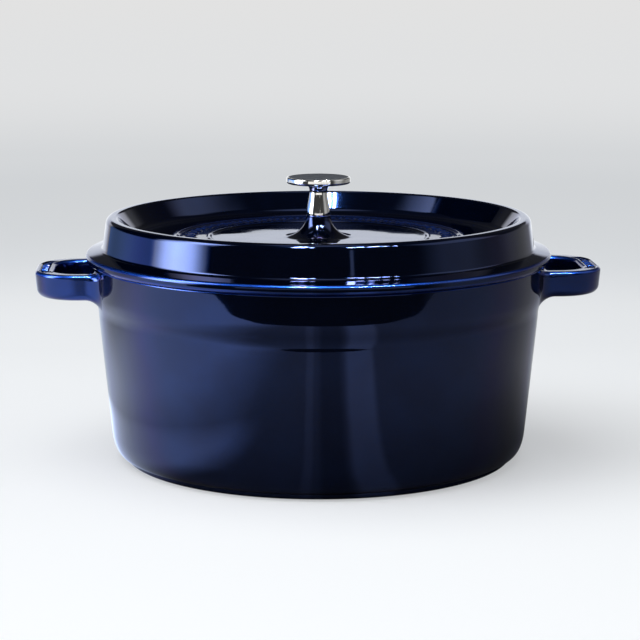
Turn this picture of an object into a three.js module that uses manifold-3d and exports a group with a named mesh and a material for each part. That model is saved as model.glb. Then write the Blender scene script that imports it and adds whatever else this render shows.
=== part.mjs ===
// Enamelled cast iron dutch oven. The round pot and its two loop handles are one casting. The lid is
// another: a flange that sits on the pot's rim, a tall crest, a sunk top with a raised ring round a flat
// disc and a flared boss, and small spikes underneath that drip condensate back. A metal knob stands
// on the boss, held by a screw from below with a flat washer and a spring washer.
//
// Millimetres. +Z is the axis of the pot, +X runs through the handles, and the origin is the centre of
// the foot, on the surface that the pot stands on.

import * as THREE from 'three';
import { mergeVertices } from 'three/addons/utils/BufferGeometryUtils.js';
import Module from 'manifold-3d';

const wasm = await Module();
wasm.setup();

// Pot
const potHeight = 127;
const rimRadius = 145;
const rimWidth = 5;
const rimRounding = 2.4;
const bandHeight = 18;
const bandDraft = 0.045;
const shoulderHeight = 15;
const shoulderStep = 3.2;
const wallDraft = 0.097;
const wallThickness = 3.2;
const baseRounding = 15;
const footInset = 9;
const footHeight = 3.4;
const footRounding = 0.8;
const floorThickness = 4.2;
const floorRounding = 15;

// Handles
const handleReach = 35.8;
const handleWidth = 77;
const handleThickness = 16.6;
const handleDrop = 4.1;
const handleCorner = 24;
const handleBevel = 2.6;
const handleDraft = 0.09;
const barWidth = 12;
const armWidth = 8.6;
const fingerCorner = 13;

// Lid
const flangeOverhang = 3.6;
const flangeThickness = 5.5;
const flangeRounding = 2.4;
const ledgeWidth = 10.8;
const ledgeRise = 1.8;
const lidThickness = 3;
const skirtDepth = 5;
const skirtWidth = 5;
const crestHeight = 27.9;
const crestLean = 2.2;
const crestWidth = 6.6;
const crestRounding = 4.2;
const crestLip = 2.2;
const slopeWidth = 9;
const sunkDepth = 13.9;
const sunkWidth = 25.4;
const ringWidth = 22.2;
const ringRise = 1.4;
const ringFall = 1.4;
const discStep = 3;
const discDrop = 0.9;
const bossHeight = 13.8;
const bossRadius = 7.8;
const bossFootRadius = 20;

// Spikes under the lid
const spikeSpacing = 30;
const spikeHeight = 4.5;
const spikeRadius = 3.2;
const spikeEdgeInset = 11.2;

// Knob and its fasteners. The waist lies between two shares of the stem's height.
const knobHeight = 25.1;
const knobRadius = 20.5;
const knobDiscThickness = 3.4;
const knobWaistRadius = 5.5;
const knobWaistLow = 0.55;
const knobWaistHigh = 0.65;
const screwRadius = 3;
const screwEngagement = 13;
const screwHeadRadius = 6.5;
const screwHeadHeight = 3.2;
const slotWidth = 1.4;
const slotDepth = 1.3;
const washerRadius = 9;
const washerThickness = 1.2;
const springWasherRadius = 5.6;
const springWasherThickness = 1.6;
const springWasherSplit = 1.5;

// Clearances
const seatGap = 0.3;
const mouthClearance = 1.2;
const boreClearance = 0.4;

// How far a cutting or joining solid runs past the face that it crosses
const overrun = 1;

// Facets round each axis
const bodyFacets = 60;
const knobFacets = 36;
const smallFacets = 24;
const spikeFacets = 6;

// Steps along each curve of an outline
const slightSteps = 2;
const edgeSteps = 3;
const sweepSteps = 5;

// Finishes
const enamel = { color: 0x14224a, roughness: 0.15, metalness: 0 };
const nickel = { color: 0xd9d6d0, roughness: 0.12, metalness: 1 };
const satinSteel = { color: 0xb8b8b6, roughness: 0.3, metalness: 1 };
const springSteel = { color: 0x8f9092, roughness: 0.4, metalness: 1 };

// Radii and heights that follow from the sizes above
const mouthRadius = rimRadius - rimWidth;
const bandFoot = { r: rimRadius - bandDraft * bandHeight, z: potHeight - bandHeight };
const wallTop = { r: bandFoot.r - shoulderStep, z: bandFoot.z - shoulderHeight };
const wallFoot = { z: footHeight + baseRounding };
wallFoot.r = wallTop.r - wallDraft * (wallTop.z - wallFoot.z);
const footRadius = wallFoot.r - footInset;
const handleTop = potHeight - handleDrop;
const seat = potHeight + seatGap;
const flangeRadius = rimRadius + flangeOverhang;
const crestRadius = flangeRadius - ledgeWidth - crestLean;
const crestTop = seat + crestHeight;
const sunkTop = crestTop - sunkDepth;
const slopeFootRadius = crestRadius - crestWidth - crestLip - slopeWidth;
const ringRadius = slopeFootRadius - sunkWidth;
const ringTop = sunkTop + ringRise;
const ringInnerRadius = ringRadius - ringWidth;
const discTop = ringTop - ringFall - discDrop;
const discRadius = ringInnerRadius - discStep;
const bossTop = discTop + bossHeight;
const padHeight = discTop - lidThickness;
const spikeRings = [discRadius / 2, discRadius - spikeEdgeInset, slopeFootRadius - sunkWidth / 2];
const knobFoot = bossTop + seatGap;
const knobTop = knobFoot + knobHeight;
const boreRadius = screwRadius + boreClearance;
const washerTop = padHeight - seatGap;
const springWasherTop = washerTop - washerThickness - seatGap;
const screwHeadTop = springWasherTop - springWasherThickness - seatGap;

function point(r, z) {
  return new THREE.Vector2(r, z);
}

// Points of a curve that leaves start towards corner and reaches end from corner
function bend(start, corner, end, steps) {
  return new THREE.QuadraticBezierCurve(start, corner, end).getPoints(steps);
}

function solidFrom(geometry) {
  geometry.deleteAttribute('normal');
  geometry.deleteAttribute('uv');
  const merged = mergeVertices(geometry, 1e-4);
  const triVerts = [];
  for (let i = 0; i < merged.index.count; i += 3) {
    const corners = [0, 1, 2].map((k) => merged.index.getX(i + k));
    if (new Set(corners).size === 3) {
      triVerts.push(...corners);
    }
  }
  return new wasm.Manifold(new wasm.Mesh({
    numProp: 3,
    vertProperties: new Float32Array(merged.attributes.position.array),
    triVerts: new Uint32Array(triVerts),
  }));
}

function meshFrom(name, solid, finish) {
  const result = solid.getMesh();
  const geometry = new THREE.BufferGeometry();
  geometry.setAttribute('position', new THREE.BufferAttribute(result.vertProperties, 3));
  geometry.setIndex(new THREE.BufferAttribute(result.triVerts, 1));
  geometry.computeVertexNormals();
  const mesh = new THREE.Mesh(geometry, new THREE.MeshStandardMaterial(finish));
  mesh.name = name;
  return mesh;
}

// A solid of revolution about Z, from an outline of (radius, height) points that runs outwards along
// the bottom and back along the top
function turned(outline, facets) {
  return solidFrom(new THREE.LatheGeometry(outline, facets).rotateX(Math.PI / 2));
}

function turnedRing(innerRadius, outerRadius, bottom, top, facets) {
  return turned([
    point(innerRadius, bottom),
    point(outerRadius, bottom),
    point(outerRadius, top),
    point(innerRadius, top),
    point(innerRadius, bottom),
  ], facets);
}

function block(sizeX, sizeY, sizeZ, x, y, z) {
  return solidFrom(new THREE.BoxGeometry(sizeX, sizeY, sizeZ).translate(x, y, z));
}

function potBody() {
  return turned([
    point(0, 0),
    point(footRadius - footRounding, 0),
    point(footRadius, footRounding),
    point(footRadius, footHeight),
    ...bend(
      point(footRadius + footRounding, footHeight),
      point(wallFoot.r - wallDraft * baseRounding, footHeight),
      point(wallFoot.r, wallFoot.z),
      sweepSteps,
    ),
    point(wallTop.r, wallTop.z),
    ...bend(
      point(wallTop.r + shoulderStep / 3, wallTop.z + shoulderHeight / 3),
      point(bandFoot.r - shoulderStep / 6, bandFoot.z - shoulderHeight / 3),
      point(bandFoot.r, bandFoot.z),
      slightSteps,
    ),
    ...bend(
      point(rimRadius - bandDraft * rimRounding, potHeight - rimRounding),
      point(rimRadius, potHeight),
      point(rimRadius - rimRounding, potHeight),
      edgeSteps,
    ),
    point(0, potHeight),
  ], bodyFacets);
}

function potCavity() {
  const cornerRadius = wallFoot.r - wallThickness;
  return turned([
    point(0, floorThickness),
    ...bend(
      point(cornerRadius - floorRounding, floorThickness),
      point(cornerRadius - wallDraft * floorRounding / 2, floorThickness),
      point(cornerRadius, floorThickness + floorRounding),
      sweepSteps,
    ),
    point(mouthRadius - overrun / 2, potHeight - overrun),
    point(mouthRadius, potHeight),
    point(mouthRadius, potHeight + overrun),
    point(0, potHeight + overrun),
  ], bodyFacets);
}

// Plan outline of a loop: square where it runs into the pot, rounded at its outer end
function loopOutline(path, innerX, outerX, halfWidth, corner) {
  path.moveTo(innerX, halfWidth);
  path.lineTo(innerX, -halfWidth);
  path.absarc(outerX - corner, corner - halfWidth, corner, -Math.PI / 2, 0);
  path.absarc(outerX - corner, halfWidth - corner, corner, 0, Math.PI / 2);
  path.closePath();
  return path;
}

function handleLoop() {
  const endX = rimRadius + handleReach;
  const innerX = mouthRadius - handleWidth / 4;
  const loop = loopOutline(new THREE.Shape(), innerX, endX, handleWidth / 2, handleCorner);
  const halfGap = handleWidth / 2 - armWidth;
  const gapStart = innerX + 3 * handleBevel;
  loop.holes.push(loopOutline(new THREE.Path(), gapStart, endX - barWidth, halfGap, fingerCorner));
  const geometry = new THREE.ExtrudeGeometry(loop, {
    depth: handleThickness - 2 * handleBevel,
    bevelThickness: handleBevel,
    bevelSize: handleBevel,
    bevelOffset: -handleBevel,
    bevelSegments: slightSteps,
    curveSegments: sweepSteps,
  });
  geometry.translate(0, 0, handleTop - handleThickness + handleBevel);
  const position = geometry.attributes.position;
  for (let i = 0; i < position.count; i += 1) {
    position.setX(i, position.getX(i) - handleDraft * (handleTop - position.getZ(i)));
  }
  return solidFrom(geometry);
}

function makePot() {
  const handle = handleLoop();
  const casting = potBody().add(handle).add(handle.rotate([0, 0, 180]));
  return meshFrom('pot', casting.subtract(potCavity()), enamel);
}

// Underside of the lid, from the screw's pad out to the skirt
function lidUnderside() {
  const skirtRadius = mouthRadius - mouthClearance;
  const skirtInner = skirtRadius - skirtWidth;
  const hollowTop = crestTop - lidThickness - crestLip;
  return [
    point(0, padHeight),
    point(discRadius, padHeight),
    point(ringInnerRadius, ringTop - ringFall - lidThickness),
    point(ringRadius, sunkTop - lidThickness),
    point(slopeFootRadius + lidThickness / 2, sunkTop - lidThickness),
    point(crestRadius - crestWidth, hollowTop),
    point(crestRadius - lidThickness / 2, hollowTop),
    point(skirtInner, seat + lidThickness),
    point(skirtInner + lidThickness / 2, seat - skirtDepth),
    point(skirtRadius - lidThickness / 3, seat - skirtDepth),
    point(skirtRadius, seat - skirtDepth + lidThickness / 3),
    point(skirtRadius, seat),
  ];
}

function lidOutside() {
  const flangeTop = seat + flangeThickness;
  const wallRadius = flangeRadius - ledgeWidth;
  const ledgeTop = flangeTop + ledgeRise;
  return [
    ...bend(
      point(flangeRadius - flangeRounding, seat),
      point(flangeRadius, seat),
      point(flangeRadius, seat + flangeRounding),
      edgeSteps,
    ),
    ...bend(
      point(flangeRadius, flangeTop - flangeRounding),
      point(flangeRadius, flangeTop),
      point(flangeRadius - flangeRounding, flangeTop),
      edgeSteps,
    ),
    point(wallRadius + ledgeRise, ledgeTop),
    point(wallRadius, ledgeTop + ledgeRise),
    ...bend(
      point(crestRadius, crestTop - crestRounding),
      point(crestRadius, crestTop),
      point(crestRadius - crestRounding, crestTop),
      edgeSteps,
    ),
    ...bend(
      point(crestRadius - crestWidth + crestLip, crestTop),
      point(crestRadius - crestWidth, crestTop),
      point(crestRadius - crestWidth - crestLip, crestTop - crestLip),
      slightSteps,
    ),
    ...bend(
      point(slopeFootRadius + crestRounding, sunkTop + crestRounding),
      point(slopeFootRadius, sunkTop),
      point(slopeFootRadius - crestRounding, sunkTop),
      slightSteps,
    ),
    point(ringRadius + ringRise, sunkTop),
    point(ringRadius, ringTop),
    point(ringInnerRadius, ringTop - ringFall),
    point(discRadius, discTop),
    ...bend(
      point(bossFootRadius, discTop),
      point(bossRadius + bossHeight / 8, discTop + bossHeight / 8),
      point(bossRadius, bossTop),
      sweepSteps,
    ),
    point(0, bossTop),
  ];
}

// Height of the lid's underside at a radius
function undersideHeight(radius) {
  const outline = lidUnderside();
  const next = outline.findIndex((corner) => corner.x > radius);
  const from = outline[next - 1];
  const to = outline[next];
  return from.y + (to.y - from.y) * (radius - from.x) / (to.x - from.x);
}

function lidSpike(radius, angle) {
  const cone = new THREE.ConeGeometry(spikeRadius, spikeHeight + overrun, spikeFacets);
  cone.rotateX(-Math.PI / 2);
  cone.translate(radius, 0, undersideHeight(radius) + (overrun - spikeHeight) / 2);
  cone.rotateZ(angle);
  return solidFrom(cone);
}

function makeLid() {
  let casting = turned([...lidUnderside(), ...lidOutside()], bodyFacets);
  for (const radius of spikeRings) {
    const count = Math.round(2 * Math.PI * radius / spikeSpacing);
    for (let i = 0; i < count; i += 1) {
      casting = casting.add(lidSpike(radius, 2 * Math.PI * i / count));
    }
  }
  const bore = turned([
    point(0, padHeight - overrun),
    point(boreRadius, padHeight - overrun),
    point(boreRadius, bossTop + overrun),
    point(0, bossTop + overrun),
  ], smallFacets);
  return meshFrom('lid', casting.subtract(bore), enamel);
}

function makeKnob() {
  const discUnderside = knobTop - knobDiscThickness;
  const stemHeight = discUnderside - knobFoot;
  const rounding = knobDiscThickness / 3;
  const body = turned([
    point(0, knobFoot),
    point(bossRadius, knobFoot),
    ...bend(
      point(bossRadius, knobFoot + rounding),
      point(knobWaistRadius, knobFoot + stemHeight / 3),
      point(knobWaistRadius, knobFoot + stemHeight * knobWaistLow),
      sweepSteps,
    ),
    ...bend(
      point(knobWaistRadius, knobFoot + stemHeight * knobWaistHigh),
      point(knobWaistRadius, discUnderside - rounding),
      point(bossRadius, discUnderside - rounding),
      edgeSteps,
    ),
    point(knobRadius - rounding, discUnderside),
    point(knobRadius, discUnderside + rounding),
    point(knobRadius, knobTop - rounding),
    point(knobRadius - rounding, knobTop),
    point(0, knobTop),
  ], knobFacets);
  const bore = turned([
    point(0, knobFoot - overrun),
    point(boreRadius, knobFoot - overrun),
    point(boreRadius, knobFoot + screwEngagement + overrun),
    point(0, knobFoot + screwEngagement + overrun),
  ], smallFacets);
  return meshFrom('knob', body.subtract(bore), nickel);
}

function makeScrew() {
  const headBottom = screwHeadTop - screwHeadHeight;
  const rounding = screwHeadHeight / 3;
  const body = turned([
    point(0, headBottom),
    point(screwHeadRadius - rounding, headBottom),
    point(screwHeadRadius, headBottom + rounding),
    point(screwHeadRadius, screwHeadTop),
    point(screwRadius, screwHeadTop),
    point(screwRadius, knobFoot + screwEngagement - rounding),
    point(screwRadius - rounding, knobFoot + screwEngagement),
    point(0, knobFoot + screwEngagement),
  ], smallFacets);
  const slot = block(4 * screwHeadRadius, slotWidth, 2 * slotDepth, 0, 0, headBottom);
  return meshFrom('knob_screw', body.subtract(slot), satinSteel);
}

function makeFlatWasher() {
  const washer = turnedRing(boreRadius, washerRadius, washerTop - washerThickness, washerTop, smallFacets);
  return meshFrom('flat_washer', washer, satinSteel);
}

function makeSpringWasher() {
  const bottom = springWasherTop - springWasherThickness;
  const ring = turnedRing(boreRadius, springWasherRadius, bottom, springWasherTop, smallFacets);
  const splitHeight = 4 * springWasherThickness;
  const split = block(springWasherRadius, springWasherSplit, splitHeight, springWasherRadius, 0, bottom);
  return meshFrom('spring_washer', ring.subtract(split), springSteel);
}

const group = new THREE.Group();
group.add(makePot(), makeLid(), makeKnob(), makeScrew(), makeFlatWasher(), makeSpringWasher());

export default group;
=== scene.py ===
"""Enamelled cast iron dutch oven with a crested lid, two loop handles and a metal knob.

Every size below is in millimetres unless it says otherwise. Meshes are made in millimetres and stored in
metres. +Z is the pot's axis, +X runs through the handles, and the origin is the centre of the foot.
"""
import math

import bmesh
import bpy
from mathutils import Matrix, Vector


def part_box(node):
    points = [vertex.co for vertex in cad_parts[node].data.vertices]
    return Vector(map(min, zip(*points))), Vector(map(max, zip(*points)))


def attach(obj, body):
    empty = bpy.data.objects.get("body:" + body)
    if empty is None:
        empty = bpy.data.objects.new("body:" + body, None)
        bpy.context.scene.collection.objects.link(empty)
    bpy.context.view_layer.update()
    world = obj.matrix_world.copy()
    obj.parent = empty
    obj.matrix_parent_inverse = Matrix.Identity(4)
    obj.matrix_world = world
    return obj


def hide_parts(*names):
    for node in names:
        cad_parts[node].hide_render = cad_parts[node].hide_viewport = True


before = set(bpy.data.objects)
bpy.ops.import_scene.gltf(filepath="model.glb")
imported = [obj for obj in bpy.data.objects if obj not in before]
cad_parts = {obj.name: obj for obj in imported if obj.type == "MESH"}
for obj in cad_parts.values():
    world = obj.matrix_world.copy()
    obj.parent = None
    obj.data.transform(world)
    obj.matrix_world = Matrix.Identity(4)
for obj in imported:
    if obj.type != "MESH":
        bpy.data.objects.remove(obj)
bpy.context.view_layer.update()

MM = 0.001

# ---------------------------------------------------------------- sizes taken from the frame
_, pot_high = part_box("pot")
_, lid_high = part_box("lid")
knob_low, knob_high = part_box("knob")
flat_low, flat_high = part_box("flat_washer")
spring_low, spring_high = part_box("spring_washer")
screw_low, screw_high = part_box("knob_screw")

RIM_R = pot_high.y / MM            # outer radius of the pot's rim
POT_TOP = pot_high.z / MM
REACH = pot_high.x / MM            # end of a handle
FLANGE_R = lid_high.x / MM         # outer radius of the lid's flange
SEAT_GAP = 0.3
SEAT = POT_TOP + SEAT_GAP          # underside of the flange
BOSS_TOP = lid_high.z / MM
KNOB_FOOT = knob_low.z / MM
KNOB_TOP = knob_high.z / MM
KNOB_R = knob_high.x / MM

# ---------------------------------------------------------------- driving sizes of the visual model
SEGMENTS = 288                     # facets round the large turned pieces
LID_SEGMENTS = 720
SMALL_SEGMENTS = 96
ARC_STEP = math.radians(7.5)       # turn between the points of a fillet
SUPPORT = 0.35                     # distance of the points that hold a fillet's ends
SIDE_SHARE = 0.49                  # most of a side that one fillet takes up
SUPPORT_SHARE = 0.2                # most of a side that lies between a fillet's end and its holding point
THIN_FALL = 0.7                    # power by which the glaze thickens away from the middle of an edge

HANDLE_DROP = 4.1
HANDLE_TOP = POT_TOP - HANDLE_DROP
HANDLE_THICK = 16.6
HANDLE_HALF = 38.5
HANDLE_CORNER = 27.0
FINGER_CORNER = 17.0
BAR_WIDTH = 12.0
ARM_WIDTH = 8.6
HANDLE_DRAFT = 0.09
HANDLE_LEAN = 0.0026               # share of the half width lost per millimetre below the top
HANDLE_EDGE = 2.4                  # rounding of the handle's top edges
HANDLE_BELLY = 4.6                 # rounding of its lower outer edge
HANDLE_PALM = 2.6                  # rounding of its lower inner edge
HANDLE_LOW_THIN = 0.15             # how thin the glaze is along the lower edges
ROOT_FILLET = 8.0
ROOT_FILLET_TOP = 2.0
ROOT_BITE = 0.08                   # how far the end of the flare lies inside the wall
ROOT_BURIED = 1.6                  # how far the handle runs on inside the wall
ROOT_FAN = (0, 12, 24, 36, 48, 60, 70, 78, 84, 89)    # degrees of the flare's rings
BAR_STEPS = 34
CORNER_STEPS = 46
ARM_STEPS = 7
CROSS_STEPS = 22
EDGE_STEPS = 8
HANDLE_THIN = 0.40                 # how thin the glaze is all over a handle
PANEL_HALF = 24.0
PANEL_DEPTH = 1.2
PANEL_PITCH = 6.4
PANEL_MARGIN = 0.5                 # between the panel and the rounding of the handle's edge
PANEL_BEAD = (2.0, 1.5)            # half sizes of a bead across and along the bar
PANEL_RIB = (2.3, 0.55)
PANEL_FILL = 0.95                  # height of the ornament as a share of the panel's depth

BOSS_HEIGHT = 13.8
BOSS_R = 7.8
BORE_R = 3.4
RING_TOP = 142.8
RING_IN = 70.2
RING_OUT = 93.5
DISC_Z = BOSS_TOP - BOSS_HEIGHT    # the flat disc inside the ring
BAND_Z = DISC_Z + 0.4              # the ring's band, between its two rounded lips
LID_THICK = 3.0
UNDERSIDE_Z = 138.3                # underside of the sunk flat round the ring
RELIEF_MID = 82.0
RELIEF_HALF = 4.4
RELIEF_MARGIN = 2.0
RELIEF_STEP = 0.6                  # distance of the outline's points across the relief
RING_HALF = 10.5                   # half width of the ring where the glaze is thin
RING_THIN = 0.55
RELIEF_HEIGHT = 0.9
RELIEF_COUNT = 54
RELIEF_BEAD = (2.6, 2.2)           # half sizes of a bead across and along the ring
RELIEF_RIB = (3.4, 0.75)
TOP_SIDE_Z = 137.0                 # everything of the lid's sunk top is above this height

SPIKE_PROFILE = ((0.0, -4.5), (0.45, -4.4), (0.8, -4.05), (1.25, -2.9), (1.75, -1.6), (2.35, -0.7),
                 (3.2, -0.15), (3.4, 0.6))
SPIKE_RINGS = (33.6, 56.0, 106.6)
SPIKE_SPACING = 30.0
SPIKE_SIDES = 20

KNOB_DISC = 4.3
KNOB_BORE = 3.3
KNOB_BORE_DEEP = 14.0
HEAD_TALL = 3.2
SHANK_R = 3.0
THREAD_PITCH = 1.0
THREAD_DEEP = 0.5
THREAD_CLEAR = 5.0                 # plain shank between the head and the thread
SHANK_STEP = 0.1
SLOT_HALF = (9.0, 0.7)
SLOT_DEEP = 1.3
WASHER_R = 9.0
WASHER_EDGE = 0.35
SPRING_IN = 3.5
SPRING_OUT = 5.5
SPRING_EDGE = 0.15
SPRING_SHARE = 0.8                 # of the spring washer's height that its wire takes up
SPRING_GAP = 8                     # degrees from +X to either end of the wire
SPRING_STEPS = 72


# ---------------------------------------------------------------- outlines
def fillet(corners):
    """Outline from corners (r, z, radius, thin): arcs of that radius, with thin on their points."""
    out = []
    for i, (r, z, radius, thin) in enumerate(corners):
        here = Vector((r, z))
        if radius <= 0 or i in (0, len(corners) - 1):
            out.append((r, z, thin))
            continue
        before = Vector(corners[i - 1][:2]) - here
        after = Vector(corners[i + 1][:2]) - here
        room = min(before.length, after.length)
        before.normalize()
        after.normalize()
        half = before.angle(after) / 2
        reach = min(radius / math.tan(half), SIDE_SHARE * room)
        radius = reach * math.tan(half)
        turn = math.pi - 2 * half
        middle = here + (before + after).normalized() * (radius / math.sin(half))
        start, end = here + before * reach, here + after * reach
        hold = min(SUPPORT, SUPPORT_SHARE * room)
        out.append((*(start + before * hold), 0.0))
        steps = max(3, math.ceil(turn / ARC_STEP))
        a = start - middle
        b = end - middle
        for k in range(steps + 1):
            t = k / steps
            w0 = math.sin((1 - t) * turn) / math.sin(turn)
            w1 = math.sin(t * turn) / math.sin(turn)
            p = middle + a * w0 + b * w1
            out.append((p.x, p.y, thin * math.sin(math.pi * t) ** THIN_FALL))
        out.append((*(end + after * hold), 0.0))
    return out


def spline(points, steps):
    """Smooth curve through (r, z) points, as (r, z, 0) points."""
    out = []
    last = len(points) - 1
    for i in range(last):
        p0, p1, p2, p3 = (Vector(points[max(0, min(last, i + k))]) for k in (-1, 0, 1, 2))
        for s in range(steps):
            t = s / steps
            p = 0.5 * ((2 * p1) + (p2 - p0) * t + (2 * p0 - 5 * p1 + 4 * p2 - p3) * t ** 2
                       + (3 * p1 - p0 - 3 * p2 + p3) * t ** 3)
            out.append((p.x, p.y, 0.0))
    out.append((*points[-1], 0.0))
    return out


def bezier(start, corner, end, steps):
    """Quadratic curve from start towards corner to end, as (r, z, 0) points."""
    out = []
    for k in range(steps + 1):
        t = k / steps
        a, b, c = (1 - t) ** 2, 2 * t * (1 - t), t * t
        out.append((a * start[0] + b * corner[0] + c * end[0],
                    a * start[1] + b * corner[1] + c * end[1], 0.0))
    return out


# ---------------------------------------------------------------- meshes
def link(name, data):
    obj = bpy.data.objects.new(name, data)
    bpy.context.scene.collection.objects.link(obj)
    return obj


def new_object(name, mesh, materials, body, nodes=()):
    """A piece of the object, on its body, in place of the nodes of the frame."""
    obj = link(name, mesh)
    for each in materials:
        mesh.materials.append(each)
    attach(obj, body)
    if nodes:
        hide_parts(*nodes)
    return obj


def finish_mesh(bm, name, thin=None):
    """Mesh in metres from a bmesh in millimetres, smooth, with the glaze's thinness as an attribute."""
    bmesh.ops.recalc_face_normals(bm, faces=bm.faces)
    for v in bm.verts:
        v.co *= MM
    mesh = bpy.data.meshes.new(name)
    bm.to_mesh(mesh)
    bm.free()
    mesh.shade_smooth()
    if thin is not None:
        attribute = mesh.attributes.new("thin", "FLOAT", "POINT")
        attribute.data.foreach_set("value", thin)
    return mesh


def skin(bm, low, high, material_index=0):
    """Faces between two closed rings of points, either of which may be a single point."""
    count = max(len(low), len(high))
    for k in range(count):
        n = (k + 1) % count
        if len(low) == 1:
            face = bm.faces.new((low[0], high[k], high[n]))
        elif len(high) == 1:
            face = bm.faces.new((low[k], high[0], low[n]))
        else:
            face = bm.faces.new((low[k], high[k], high[n], low[n]))
        face.material_index = material_index


def circle(bm, radius, z, sides, centre=(0.0, 0.0)):
    """Ring of points, or a single one where the radius is 0."""
    x, y = centre
    if radius == 0.0:
        return [bm.verts.new((x, y, z))]
    turns = [2 * math.pi * k / sides for k in range(sides)]
    return [bm.verts.new((x + radius * math.cos(a), y + radius * math.sin(a), z)) for a in turns]


def turned(name, outline, segments, change=None, material_at=None, closed=False):
    """Lathe mesh about Z. change(r, z, angle, thin) may move a point, and material_at(i) picks the material
    of the faces after point i of the outline."""
    bm = bmesh.new()
    thin = []
    rings = []
    for r, z, t in outline:
        if r < 1e-6:
            rings.append([bm.verts.new((0, 0, z))])
            thin.append(t)
            continue
        ring = []
        for k in range(segments):
            a = 2 * math.pi * k / segments
            rr, zz, tt = change(r, z, a, t) if change else (r, z, t)
            ring.append(bm.verts.new((rr * math.cos(a), rr * math.sin(a), zz)))
            thin.append(tt)
        rings.append(ring)
    pairs = list(zip(rings, rings[1:]))
    if closed:
        pairs.append((rings[-1], rings[0]))
    for i, (low, high) in enumerate(pairs):
        skin(bm, low, high, material_at(i) if material_at else 0)
    return finish_mesh(bm, name, thin)


# ---------------------------------------------------------------- materials
def material(name, **sockets):
    made = bpy.data.materials.new(name)
    made.use_nodes = True
    shader = made.node_tree.nodes["Principled BSDF"]
    for key, value in sockets.items():
        shader.inputs[key.replace("_", " ")].default_value = value
    return made, made.node_tree, shader


def add(tree, kind, **inputs):
    node = tree.nodes.new(kind)
    for key, value in inputs.items():
        socket = node.inputs[int(key[1:])] if key[0] == "i" and key[1:].isdigit() else node.inputs[key]
        if isinstance(value, bpy.types.NodeSocket):
            tree.links.new(value, socket)
        else:
            socket.default_value = value
    return node


def noise(tree, vector, scale, detail=3.0, roughness=0.5):
    return add(tree, "ShaderNodeTexNoise", Vector=vector, Scale=scale, Detail=detail, Roughness=roughness)


def spread(tree, value, low, high, to_low=0.0, to_high=1.0):
    """The value between low and high mapped softly to another range."""
    node = add(tree, "ShaderNodeMapRange", i0=value, i1=low, i2=high, i3=to_low, i4=to_high)
    node.interpolation_type = "SMOOTHSTEP"
    return node.outputs[0]


def mix_color(tree, factor, a, b):
    node = tree.nodes.new("ShaderNodeMix")
    node.data_type = "RGBA"
    for socket, value in ((node.inputs[0], factor), (node.inputs[6], a), (node.inputs[7], b)):
        if isinstance(value, bpy.types.NodeSocket):
            tree.links.new(value, socket)
        else:
            socket.default_value = value
    return node.outputs[2]


def bump(tree, height, distance, strength=1.0, normal=None):
    node = add(tree, "ShaderNodeBump", Strength=strength, Distance=distance, Height=height)
    if normal is not None:
        tree.links.new(normal, node.inputs["Normal"])
    return node.outputs[0]


def sum_of(tree, a, b, share):
    """a plus share times b."""
    node = add(tree, "ShaderNodeMath", i0=b, i1=share, i2=a)
    node.operation = "MULTIPLY_ADD"
    return node.outputs[0]


GLAZE_DARK = (0.0022, 0.0092, 0.044, 1)
GLAZE_LIGHT = (0.0030, 0.0125, 0.056, 1)
GLAZE_SPECK = (0.004, 0.020, 0.09, 1)
GLAZE_THIN = (0.007, 0.044, 0.27, 1)
GLAZE_GROUND = (0.035, 0.075)      # roughness of the ground under the coat
GLAZE_THIN_ROUGH = 0.27            # what is added to it where the glaze is thin
GLAZE_WAVE = 0.00028               # metres
GLAZE_PEEL = 0.0000028
BLACK_DARK = (0.008, 0.008, 0.010, 1)
BLACK_LIGHT = (0.016, 0.016, 0.018, 1)
BLACK_SPECK = (0.05, 0.05, 0.055, 1)
BLACK_GRAIN = 0.00008


def make_enamel():
    """Deep glossy navy glaze: a dark blue metallic ground, cobalt and rougher where the glaze is thin, under
    a clear and slightly wavy coat."""
    made, tree, shader = material("navy_enamel", Metallic=0.9, Coat_Weight=1.0, Coat_IOR=1.30,
                                  Coat_Roughness=0.03, Specular_Tint=(0.10, 0.16, 0.40, 1))
    coords = add(tree, "ShaderNodeTexCoord").outputs["Object"]
    cloud = noise(tree, coords, 38.0, 4.0).outputs[0]
    speck = noise(tree, coords, 900.0, 2.0).outputs[0]
    thin = tree.nodes.new("ShaderNodeAttribute")
    thin.attribute_name = "thin"
    deep = mix_color(tree, spread(tree, cloud, 0.3, 0.7), GLAZE_DARK, GLAZE_LIGHT)
    deep = mix_color(tree, spread(tree, speck, 0.62, 0.80, 0.0, 0.25), deep, GLAZE_SPECK)
    edge = sum_of(tree, thin.outputs["Fac"], cloud, 0.35)
    colour = mix_color(tree, spread(tree, edge, 0.25, 1.25), deep, GLAZE_THIN)
    tree.links.new(colour, shader.inputs["Base Color"])
    ground = spread(tree, noise(tree, coords, 60.0, 3.0).outputs[0], 0.3, 0.75, *GLAZE_GROUND)
    rough = sum_of(tree, ground, spread(tree, thin.outputs["Fac"], 0.1, 0.9), GLAZE_THIN_ROUGH)
    tree.links.new(rough, shader.inputs["Roughness"])
    wave = noise(tree, coords, 26.0, 1.5, 0.4).outputs[0]
    peel = noise(tree, coords, 420.0, 2.0).outputs[0]
    normal = bump(tree, wave, GLAZE_WAVE)
    normal = bump(tree, peel, GLAZE_PEEL, normal=normal)
    tree.links.new(normal, shader.inputs["Normal"])
    tree.links.new(normal, shader.inputs["Coat Normal"])
    return made


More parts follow.
